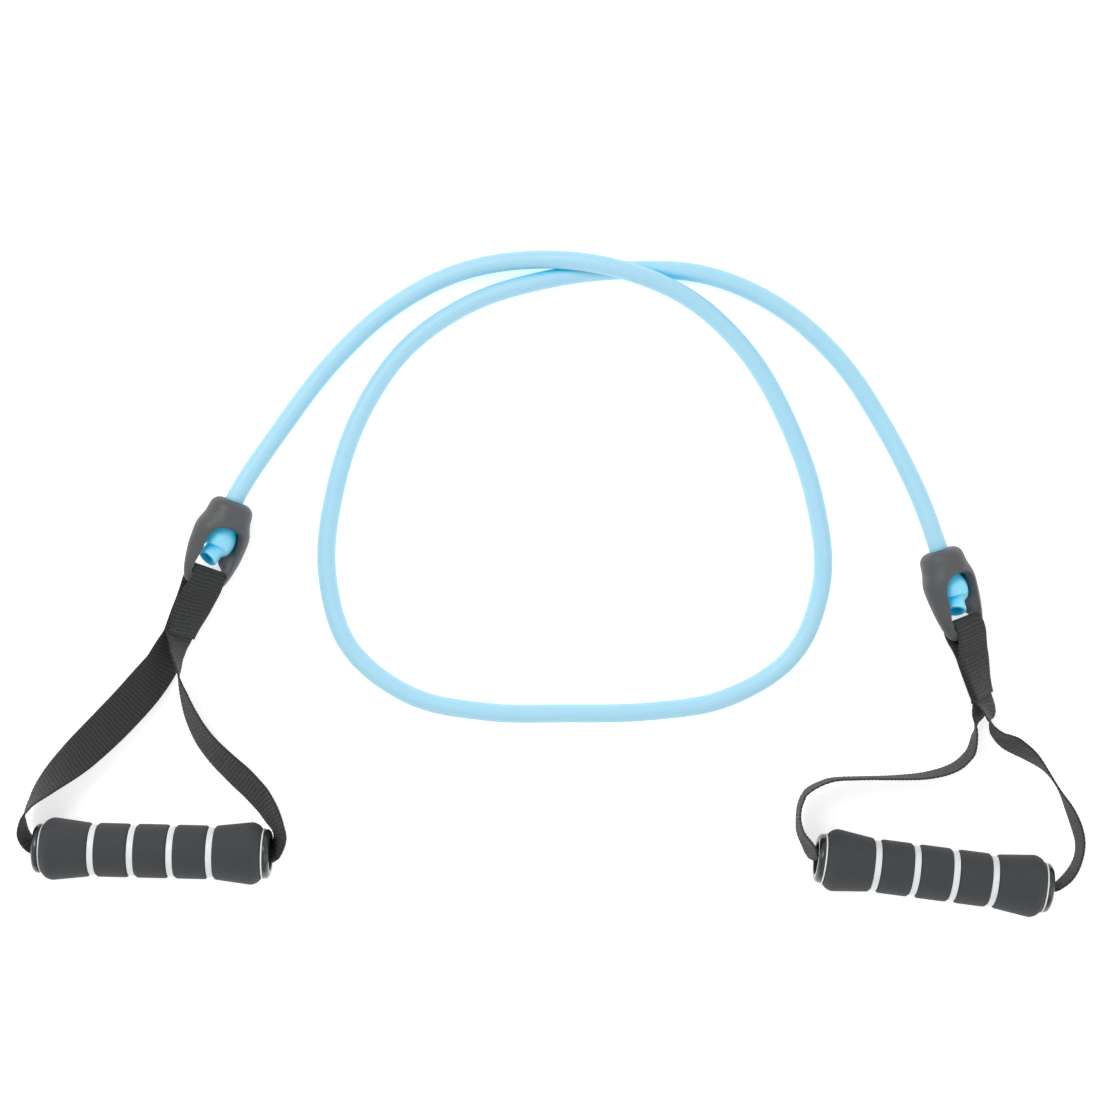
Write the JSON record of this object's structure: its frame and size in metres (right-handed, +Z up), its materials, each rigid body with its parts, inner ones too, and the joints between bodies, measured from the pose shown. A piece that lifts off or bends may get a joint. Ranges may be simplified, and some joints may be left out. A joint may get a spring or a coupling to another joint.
{
  "type": "resistance band with handles",
  "caption": "Elastic exercise tube lying in a loop, each end held in a moulded eye socket with a sewn webbing handle and a segmented foam grip.",
  "frame": {"origin": "on the floor under the middle of the whole band's bounding box", "axes": "+X from the left handle to the right handle, +Y from the handles towards the top of the loop, +Z up off the floor"},
  "size_m": [0.5453, 0.3424, 0.0319],
  "materials": {
    "tube": "satin",
    "plug": "matte",
    "socket": "matte",
    "webbing": "matte",
    "foam": "matte",
    "core": "satin",
    "cap": "gloss"
  },
  "bodies": {
    "band": {"resistance_tube": "tube", "left_end_plug": "plug"},
    "right_band_end": {"right_end_plug": "plug"},
    "left_connector": {"left_socket": "socket"},
    "left_webbing": {"left_handle_strap": "webbing"},
    "left_grip": {"left_grip_core": "core", "left_middle_foam_sleeve": "foam", "left_inner_spacer_ring_a": "core", "left_inner_foam_sleeve_a": "foam", "left_outer_spacer_ring_a": "core", "left_flared_foam_sleeve_a": "foam", "left_end_ring_a": "core", "left_end_cap_a": "cap", "left_inner_spacer_ring_b": "core", "left_inner_foam_sleeve_b": "foam", "left_outer_spacer_ring_b": "core", "left_flared_foam_sleeve_b": "foam", "left_end_ring_b": "core", "left_end_cap_b": "cap"},
    "right_connector": {"right_socket": "socket"},
    "right_webbing": {"right_handle_strap": "webbing"},
    "right_grip": {"right_grip_core": "core", "right_middle_foam_sleeve": "foam", "right_inner_spacer_ring_a": "core", "right_inner_foam_sleeve_a": "foam", "right_outer_spacer_ring_a": "core", "right_flared_foam_sleeve_a": "foam", "right_end_ring_a": "core", "right_end_cap_a": "cap", "right_inner_spacer_ring_b": "core", "right_inner_foam_sleeve_b": "foam", "right_outer_spacer_ring_b": "core", "right_flared_foam_sleeve_b": "foam", "right_end_ring_b": "core", "right_end_cap_b": "cap"}
  },
  "joints": [
    {"name": "band_stretch", "type": "slide", "parent": "band", "child": "right_band_end", "axis": [0.3098, -0.9508, 0], "range_m": [0, 0.1], "stiffness_N_per_m": 80, "deforming": ["resistance_tube"]},
    {"name": "left_socket_swivel", "type": "hinge", "parent": "band", "child": "left_connector", "pos_m": [-0.1635, 0.039, 0.0126], "axis": [-0.3649, -0.9311, 0], "continuous": true},
    {"name": "left_strap_swing", "type": "hinge", "parent": "left_connector", "child": "left_webbing", "pos_m": [-0.17795, 0.00213, 0.0126], "axis": [0.8063, -0.316, -0.5], "range_deg": [-75, 75]},
    {"name": "left_grip_roll", "type": "hinge", "parent": "left_webbing", "child": "left_grip", "pos_m": [-0.2037, -0.1376, 0.016], "axis": [0.9997, -0.0244, 0], "continuous": true},
    {"name": "right_socket_swivel", "type": "hinge", "parent": "right_band_end", "child": "right_connector", "pos_m": [0.201, 0.0137, 0.0126], "axis": [-0.3098, 0.9508, 0], "continuous": true},
    {"name": "right_strap_swing", "type": "hinge", "parent": "right_connector", "child": "right_webbing", "pos_m": [0.21327, -0.02395, 0.0126], "axis": [0.8234, 0.2683, -0.5], "range_deg": [-75, 75]},
    {"name": "right_grip_roll", "type": "hinge", "parent": "right_webbing", "child": "right_grip", "pos_m": [0.1965, -0.1489, 0.016], "axis": [0.9914, -0.1305, 0], "continuous": true}
  ]
}
